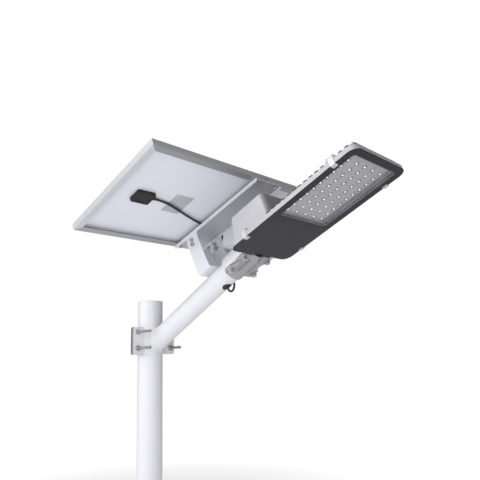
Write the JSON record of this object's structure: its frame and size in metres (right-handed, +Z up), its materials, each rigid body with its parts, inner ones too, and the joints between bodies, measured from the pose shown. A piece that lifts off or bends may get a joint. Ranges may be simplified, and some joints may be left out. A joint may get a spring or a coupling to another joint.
{
  "type": "solar street lamp",
  "caption": "Solar street lamp head: slim LED lamp with battery box on a rising arm, tilting solar panel above it, clamped to the top of a round pole.",
  "frame": {"origin": "pole axis at the lower end of the pole section", "axes": "+Z up the pole, +X the way the arm and lamp reach out, +Y across, towards the side away from the junction box"},
  "size_m": [0.8916, 0.7354, 0.8857],
  "materials": {
    "white_paint": "gloss white powder coat",
    "zinc_clamp": "grey zinc-rich coat",
    "zinc_steel": "zinc plated",
    "frame_aluminium": "satin anodised",
    "solar_glass": "tempered, lightly textured",
    "silicon": "dark blue, anti-reflection coated",
    "ribbon": "tinned",
    "backsheet_white": "satin film",
    "black_plastic": "fine texture",
    "cable_black": "satin",
    "label_grey": "blank, satin film",
    "lamp_silver": "silver-grey powder coat on die casting",
    "cover_black": "fine matt black powder coat",
    "seal_rubber": "soft",
    "window_clear": "tempered, clear",
    "chamber_grey": "satin",
    "board_white": "solder-mask white over aluminium",
    "led_phosphor": "yellow phosphor under clear gel",
    "lens_clear": "clear moulded optic",
    "cell_wrap": "shrink sleeve",
    "tray_aluminium": "mill finish",
    "strap_nylon": "woven",
    "circuit_green": "solder mask",
    "component_black": "moulded",
    "brass": "turned",
    "spring_steel": "bright"
  },
  "bodies": {
    "pole": {"pole_tube": "white_paint", "pole_cap": "white_paint"},
    "arm": {"clamp_front_half": "white_paint", "clamp_rear_half": "zinc_clamp", "clamp_bolts": "zinc_steel", "clamp_nuts": "zinc_steel", "clamp_washers": "zinc_steel", "arm_tube": "white_paint", "arm_grommet": "seal_rubber", "post_bracket": "white_paint", "post_bracket_web": "white_paint", "weld_beads": "white_paint", "feed_cable": "cable_black"},
    "panel": {"panel_channel": "white_paint", "channel_screws_and_nuts": "zinc_steel", "tilt_pivot_bolts": "zinc_steel", "tilt_lock_bolts": "zinc_steel", "tilt_nuts": "zinc_steel", "tilt_washers": "zinc_steel", "panel_rail_low": "frame_aluminium", "panel_rail_high": "frame_aluminium", "panel_rail_left": "frame_aluminium", "panel_rail_right": "frame_aluminium", "panel_corner_keys": "frame_aluminium", "panel_backsheet": "backsheet_white", "solar_cells": "silicon", "cell_ribbons": "ribbon", "panel_glass": "solar_glass", "junction_box_base": "black_plastic", "junction_box_lid": "black_plastic", "junction_box_gland": "black_plastic", "panel_label": "label_grey", "panel_cable": "cable_black"},
    "lamp": {"lamp_housing": "lamp_silver", "battery_box": "lamp_silver", "battery_box_screws": "zinc_steel", "slipfitter_cap": "lamp_silver", "slipfitter_bolts": "zinc_steel", "slipfitter_washers": "zinc_steel", "lamp_cover": "cover_black", "cover_gasket": "seal_rubber", "window_glass": "window_clear", "window_bezel": "chamber_grey", "light_chamber_rim": "chamber_grey", "led_board": "board_white", "led_packages": "led_phosphor", "led_lenses": "lens_clear", "battery_tray": "tray_aluminium", "battery_cells": "cell_wrap", "battery_straps": "strap_nylon", "controller_board": "circuit_green", "board_standoffs": "brass", "board_screws": "zinc_steel", "controller_parts": "component_black", "lamp_wires": "cable_black", "clip_pins": "zinc_steel"},
    "clip_near_left": {"clip_near_left": "spring_steel"},
    "clip_near_right": {"clip_near_right": "spring_steel"},
    "clip_far_left": {"clip_far_left": "spring_steel"},
    "clip_far_right": {"clip_far_right": "spring_steel"}
  },
  "joints": [
    {"name": "arm_swing", "type": "hinge", "parent": "pole", "child": "arm", "pos_m": [0, 0, 0.4645], "axis": [0, 0, 1], "range_deg": [-180, 180]},
    {"name": "panel_tilt", "type": "hinge", "parent": "arm", "child": "panel", "pos_m": [0.26372, 0, 0.75345], "axis": [0, -1, 0], "range_deg": [-8, 25]},
    {"name": "lamp_roll", "type": "hinge", "parent": "arm", "child": "lamp", "pos_m": [0, 0, 0.4645], "axis": [0.8882, 0, 0.4594], "range_deg": [-12, 12]},
    {"name": "clip_near_left_hinge", "type": "hinge", "parent": "lamp", "child": "clip_near_left", "pos_m": [0.52486, -0.1085, 0.7184], "axis": [-0.9262, 0, -0.377], "range_deg": [0, 100]},
    {"name": "clip_near_right_hinge", "type": "hinge", "parent": "lamp", "child": "clip_near_right", "pos_m": [0.52486, 0.1085, 0.7184], "axis": [0.9262, 0, 0.377], "range_deg": [0, 100]},
    {"name": "clip_far_left_hinge", "type": "hinge", "parent": "lamp", "child": "clip_far_left", "pos_m": [0.7842, -0.1085, 0.82397], "axis": [-0.9262, 0, -0.377], "range_deg": [0, 100]},
    {"name": "clip_far_right_hinge", "type": "hinge", "parent": "lamp", "child": "clip_far_right", "pos_m": [0.7842, 0.1085, 0.82397], "axis": [0.9262, 0, 0.377], "range_deg": [0, 100]}
  ]
}
